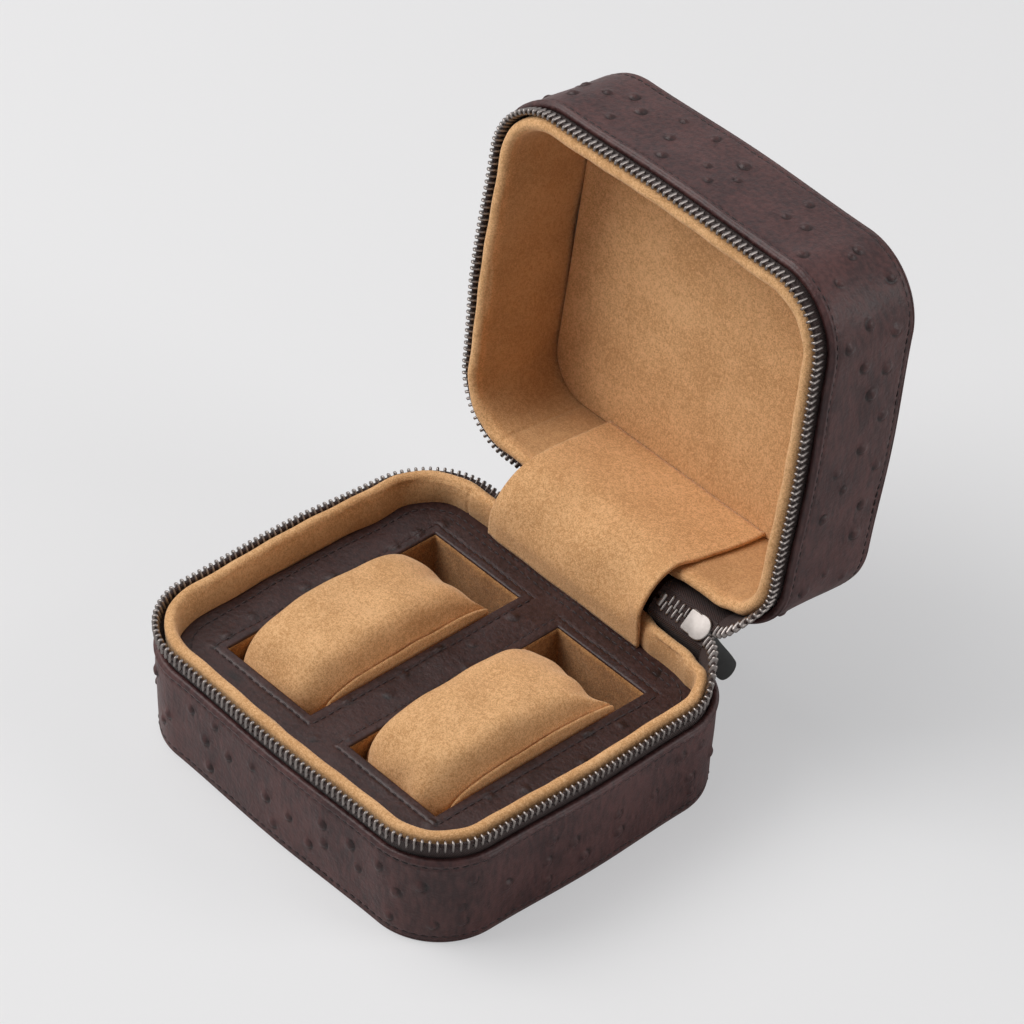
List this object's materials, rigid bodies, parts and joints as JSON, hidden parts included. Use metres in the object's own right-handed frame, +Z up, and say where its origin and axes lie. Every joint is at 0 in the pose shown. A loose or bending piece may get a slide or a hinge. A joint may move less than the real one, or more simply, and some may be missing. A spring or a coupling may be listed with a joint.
{
  "type": "watch travel case",
  "caption": "Leather travel case for watches with a zip round its rim, a hinged lid, a suede lining and lift-out watch pillows in an insert.",
  "frame": {"origin": "centre of the base's underside, on the surface that the case stands on", "axes": "+X along the hinge, +Y towards the hinge at the back, +Z up"},
  "size_m": [0.14, 0.1833, 0.1696],
  "materials": {
    "ostrich_leather": "dark brown leather embossed with quill bumps, satin",
    "insert_leather": "dark brown leather with faint quill bumps, satin",
    "suede": "tan suede with a soft nap",
    "board": "raw grey-brown board",
    "foam": "pale foam",
    "zip_tape": "near-black woven tape",
    "zip_metal": "dark nickel, polished on the heads",
    "slider_metal": "polished nickel",
    "pull_black": "matte black"
  },
  "bodies": {
    "root": {"base_wall_leather": "ostrich_leather", "base_floor_leather": "ostrich_leather", "base_wall_board": "board", "base_floor_board": "board", "base_wall_lining": "suede", "base_zip_tape": "zip_tape", "base_zip_teeth": "zip_metal", "base_top_stop": "zip_metal", "insert_block": "foam", "insert_leather": "insert_leather", "well_lining_left": "suede", "well_lining_right": "suede", "hinge_leather": "ostrich_leather", "hinge_flap": "suede", "zip_web": "zip_tape"},
    "lid": {"lid_wall_leather": "ostrich_leather", "lid_top_leather": "ostrich_leather", "lid_wall_board": "board", "lid_top_board": "board", "lid_wall_lining": "suede", "lid_zip_tape": "zip_tape", "lid_zip_teeth": "zip_metal", "lid_top_stop": "zip_metal", "ceiling_board": "board", "ceiling_pad": "suede"},
    "zip_end": {"closed_chain": "zip_metal", "bottom_stop": "zip_metal"},
    "slider": {"slider_body": "slider_metal", "slider_bail": "slider_metal"},
    "pull": {"pull_link": "slider_metal", "pull_tab": "pull_black"},
    "pillow_left": {"pillow_left_cover": "suede", "pillow_left_core": "foam"},
    "pillow_right": {"pillow_right_cover": "suede", "pillow_right_core": "foam"}
  },
  "joints": [
    {"name": "lid_hinge", "type": "hinge", "parent": "root", "child": "lid", "pos_m": [0, 0.0662, 0.0422], "axis": [-1, 0, 0], "range_deg": [-97, 0], "deforming": ["hinge_leather", "hinge_flap", "zip_web"]},
    {"name": "zip_end_swing", "type": "hinge", "parent": "root", "child": "zip_end", "pos_m": [0, 0.0662, 0.0422], "axis": [-1, 0, 0], "range_deg": [-48.5, 0]},
    {"name": "slider_travel", "type": "slide", "parent": "zip_end", "child": "slider", "axis": [1, 0, 0], "range_m": [-0.006, 0]},
    {"name": "pull_swing", "type": "hinge", "parent": "slider", "child": "pull", "pos_m": [0.047, 0.06365, 0.04327], "axis": [0, 0.8926, 0.4509], "range_deg": [-75, 45]},
    {"name": "pillow_left_lift", "type": "slide", "parent": "root", "child": "pillow_left", "axis": [0, 0, 1], "range_m": [0, 0.03]},
    {"name": "pillow_right_lift", "type": "slide", "parent": "root", "child": "pillow_right", "axis": [0, 0, 1], "range_m": [0, 0.03]}
  ],
  "couplings": [
    {"joint": "zip_end_swing", "follows": "lid_hinge", "ratio": 0.5}
  ]
}
